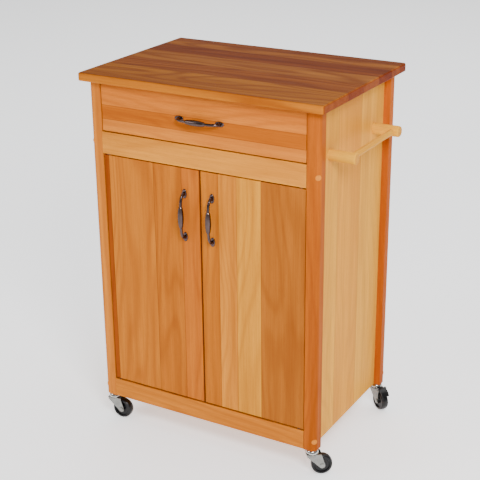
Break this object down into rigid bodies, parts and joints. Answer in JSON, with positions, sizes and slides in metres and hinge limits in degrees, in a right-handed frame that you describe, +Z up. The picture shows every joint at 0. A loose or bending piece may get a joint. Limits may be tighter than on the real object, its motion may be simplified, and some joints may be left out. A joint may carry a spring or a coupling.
{
  "type": "rolling kitchen cart",
  "caption": "Rolling kitchen cabinet with a butcher block top, a drawer over doors with a shelf inside, a side towel bar and swivel casters.",
  "frame": {"origin": "on the floor, under the middle of the whole outline from the top's left edge to the towel bar and from the pulls to the top's rear edge", "axes": "+Z up, the drawer and doors face -Y, the towel bar is on the +X side"},
  "size_m": [0.642, 0.4295, 0.876],
  "materials": {
    "top_wood": "satin oil",
    "frame_wood": "satin lacquer",
    "front_wood": "satin lacquer",
    "panel_wood": "satin lacquer",
    "inner_wood": "plain sanded",
    "plug_wood": "satin lacquer",
    "screw_steel": "zinc plated",
    "pull_metal": "satin pewter",
    "bearing_plastic": "plain",
    "catch_plastic": "plain",
    "caster_steel": "bright zinc",
    "caster_plastic": "plain"
  },
  "bodies": {
    "cabinet": {"butcher_block_top": "top_wood", "top_stretchers": "inner_wood", "front_left_post": "frame_wood", "front_right_post": "frame_wood", "rear_left_post": "frame_wood", "rear_right_post": "frame_wood", "corner_plugs": "plug_wood", "corner_screws": "screw_steel", "bottom_rail": "front_wood", "mid_rail": "front_wood", "hinge_bushings": "bearing_plastic", "left_side_panel": "panel_wood", "right_side_panel": "panel_wood", "back_panel": "inner_wood", "corner_blocks": "inner_wood", "floor_cleats": "inner_wood", "cabinet_floor": "inner_wood", "shelf": "inner_wood", "shelf_pins": "screw_steel", "towel_pegs": "panel_wood", "towel_rod": "panel_wood", "drawer_runners": "inner_wood", "wood_screws": "screw_steel", "door_stop_strip": "inner_wood", "magnetic_catches": "catch_plastic", "drawer_stop": "inner_wood", "caster_inserts": "caster_steel", "caster_stems": "caster_steel"},
    "drawer": {"drawer_front": "front_wood", "drawer_left_side": "inner_wood", "drawer_right_side": "inner_wood", "drawer_back": "inner_wood", "drawer_bottom": "inner_wood", "drawer_pull": "pull_metal", "drawer_pull_screws": "screw_steel"},
    "left_door": {"left_door": "front_wood", "left_door_pins": "screw_steel", "left_strike_plate": "screw_steel", "left_door_pull": "pull_metal", "left_door_pull_screws": "screw_steel"},
    "right_door": {"right_door": "front_wood", "right_door_pins": "screw_steel", "right_strike_plate": "screw_steel", "right_door_pull": "pull_metal", "right_door_pull_screws": "screw_steel"},
    "front_left_swivel": {"front_left_fork": "caster_steel", "front_left_axle": "caster_steel"},
    "front_left_wheel": {"front_left_wheel": "caster_plastic"},
    "front_right_swivel": {"front_right_fork": "caster_steel", "front_right_axle": "caster_steel"},
    "front_right_wheel": {"front_right_wheel": "caster_plastic"},
    "rear_left_swivel": {"rear_left_fork": "caster_steel", "rear_left_axle": "caster_steel"},
    "rear_left_wheel": {"rear_left_wheel": "caster_plastic"},
    "rear_left_brake": {"rear_left_brake_lever": "caster_plastic"},
    "rear_right_swivel": {"rear_right_fork": "caster_steel", "rear_right_axle": "caster_steel"},
    "rear_right_wheel": {"rear_right_wheel": "caster_plastic"},
    "rear_right_brake": {"rear_right_brake_lever": "caster_plastic"}
  },
  "joints": [
    {"name": "drawer_slide", "type": "slide", "parent": "cabinet", "child": "drawer", "axis": [0, -1, 0], "range_m": [0, 0.24]},
    {"name": "left_door_hinge", "type": "hinge", "parent": "cabinet", "child": "left_door", "pos_m": [-0.2615, -0.18475, 0.4015], "axis": [0, 0, -1], "range_deg": [0, 110]},
    {"name": "right_door_hinge", "type": "hinge", "parent": "cabinet", "child": "right_door", "pos_m": [0.2295, -0.18475, 0.4015], "axis": [0, 0, 1], "range_deg": [0, 110]},
    {"name": "front_left_swivel_turn", "type": "hinge", "parent": "cabinet", "child": "front_left_swivel", "pos_m": [-0.29, -0.17725, 0.053], "axis": [0, 0, 1], "continuous": true},
    {"name": "front_left_wheel_spin", "type": "hinge", "parent": "front_left_swivel", "child": "front_left_wheel", "pos_m": [-0.26816, -0.17457, 0.025], "axis": [-0.1219, 0.9925, 0], "continuous": true},
    {"name": "front_right_swivel_turn", "type": "hinge", "parent": "cabinet", "child": "front_right_swivel", "pos_m": [0.258, -0.17725, 0.053], "axis": [0, 0, 1], "continuous": true},
    {"name": "front_right_wheel_spin", "type": "hinge", "parent": "front_right_swivel", "child": "front_right_wheel", "pos_m": [0.27602, -0.16463, 0.025], "axis": [-0.5736, 0.8192, 0], "continuous": true},
    {"name": "rear_left_swivel_turn", "type": "hinge", "parent": "cabinet", "child": "rear_left_swivel", "pos_m": [-0.29, 0.18175, 0.053], "axis": [0, 0, 1], "continuous": true},
    {"name": "rear_left_wheel_spin", "type": "hinge", "parent": "rear_left_swivel", "child": "rear_left_wheel", "pos_m": [-0.26933, 0.18927, 0.025], "axis": [-0.342, 0.9397, 0], "continuous": true},
    {"name": "rear_left_brake_pedal", "type": "hinge", "parent": "rear_left_swivel", "child": "rear_left_brake", "pos_m": [-0.26745, 0.18996, 0.0555], "axis": [-0.342, 0.9397, 0], "range_deg": [0, 8]},
    {"name": "rear_right_swivel_turn", "type": "hinge", "parent": "cabinet", "child": "rear_right_swivel", "pos_m": [0.258, 0.18175, 0.053], "axis": [0, 0, 1], "continuous": true},
    {"name": "rear_right_wheel_spin", "type": "hinge", "parent": "rear_right_swivel", "child": "rear_right_wheel", "pos_m": [0.27602, 0.16913, 0.025], "axis": [0.5736, 0.8192, 0], "continuous": true},
    {"name": "rear_right_brake_pedal", "type": "hinge", "parent": "rear_right_swivel", "child": "rear_right_brake", "pos_m": [0.27766, 0.16798, 0.0555], "axis": [0.5736, 0.8192, 0], "range_deg": [0, 8]}
  ]
}
